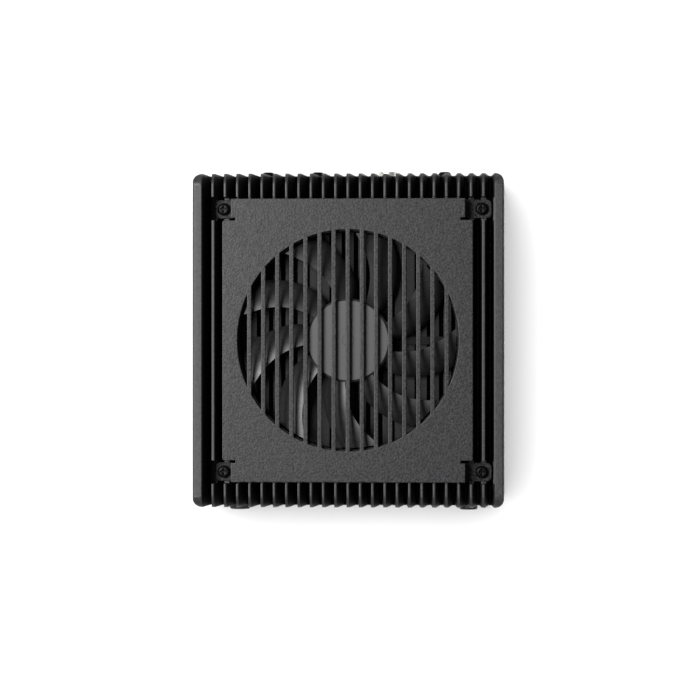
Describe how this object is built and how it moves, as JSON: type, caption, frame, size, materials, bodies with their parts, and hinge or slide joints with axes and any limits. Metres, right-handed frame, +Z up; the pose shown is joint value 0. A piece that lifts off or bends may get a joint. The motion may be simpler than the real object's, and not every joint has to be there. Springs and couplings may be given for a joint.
{
  "type": "compact industrial computer",
  "caption": "Compact finned industrial computer with a fan under a slotted cover plate, network jacks and other ports in its end panels.",
  "frame": {"origin": "under the middle of the case, on the surface that its feet stand on", "axes": "+Z up through the fins, +X to the right of the front panel, +Y towards the rear panel"},
  "size_m": [0.1264, 0.1408, 0.058],
  "materials": {
    "black_anodised": "black anodised, fine matt grain",
    "panel_anodised": "black anodised sheet",
    "cover_coating": "gunmetal grey powder coat with a fine sparkle",
    "black_screw": "black oxide",
    "steel": "plain",
    "nickel_shell": "nickel plated shell",
    "fan_plastic": "moulded black, glass filled",
    "blade_plastic": "moulded dark grey, satin",
    "rubber_black": "black rubber",
    "foam": "closed-cell foam",
    "brass": "turned",
    "copper": "machined copper",
    "magnet": "bonded ferrite",
    "board_green": "solder mask",
    "chip_black": "moulded package",
    "thermal_grey": "thermal paste",
    "capacitor_can": "drawn can",
    "jack_plastic": "moulded black",
    "tongue_plastic": "moulded black",
    "lamp_clear": "clear light pipe",
    "lead_cover": "black sleeving"
  },
  "bodies": {
    "root": {"heatsink_housing": "black_anodised", "bottom_cover": "panel_anodised", "front_panel": "panel_anodised", "rear_panel": "panel_anodised", "foot_front_left": "rubber_black", "foot_front_right": "rubber_black", "foot_rear_left": "rubber_black", "foot_rear_right": "rubber_black", "fan_cover": "cover_coating", "cover_pillars": "steel", "fan_frame": "fan_plastic", "fan_gasket": "foam", "fan_bearing": "brass", "fan_circuit_board": "board_green", "stator_core": "steel", "stator_coils": "copper", "fan_header": "jack_plastic", "fan_plug": "jack_plastic", "fan_lead": "lead_cover", "mainboard": "board_green", "board_posts": "brass", "board_screws": "steel", "cpu_package": "chip_black", "thermal_pad": "thermal_grey", "copper_heat_block": "copper", "heat_block_screws": "steel", "memory_socket": "jack_plastic", "memory_module": "board_green", "disk_socket": "jack_plastic", "disk_module": "board_green", "disk_post": "brass", "disk_screw": "steel", "coin_cell_holder": "jack_plastic", "coin_cell": "steel", "network_chips": "chip_black", "power_chokes": "chip_black", "capacitors": "capacitor_can", "lan_jacks": "nickel_shell", "usb_port_1": "nickel_shell", "usb_port_2": "nickel_shell", "usb_port_3": "nickel_shell", "port_tongues": "tongue_plastic", "video_port_1": "nickel_shell", "video_port_2": "nickel_shell", "usb_c_port": "nickel_shell", "power_inlet": "nickel_shell", "antenna_plug": "rubber_black", "power_switch": "jack_plastic", "light_pipes": "lamp_clear", "fan_cover_screws": "black_screw", "panel_screws": "black_screw", "rear_top_screws": "black_screw", "bottom_cover_screws": "black_screw"},
    "rotor": {"fan_impeller": "blade_plastic", "rotor_yoke": "steel", "rotor_magnet": "magnet", "fan_shaft": "steel", "shaft_clip": "steel"},
    "button": {"power_button": "panel_anodised", "switch_plunger": "tongue_plastic"}
  },
  "joints": [
    {"name": "fan_spin", "type": "hinge", "parent": "root", "child": "rotor", "pos_m": [0, 0, 0.0484], "axis": [0, 0, 1], "continuous": true},
    {"name": "power_button_press", "type": "slide", "parent": "root", "child": "button", "axis": [0, 1, 0], "range_m": [0, 0.001], "stiffness_N_per_m": 1000, "springref_m": -0.0005}
  ]
}
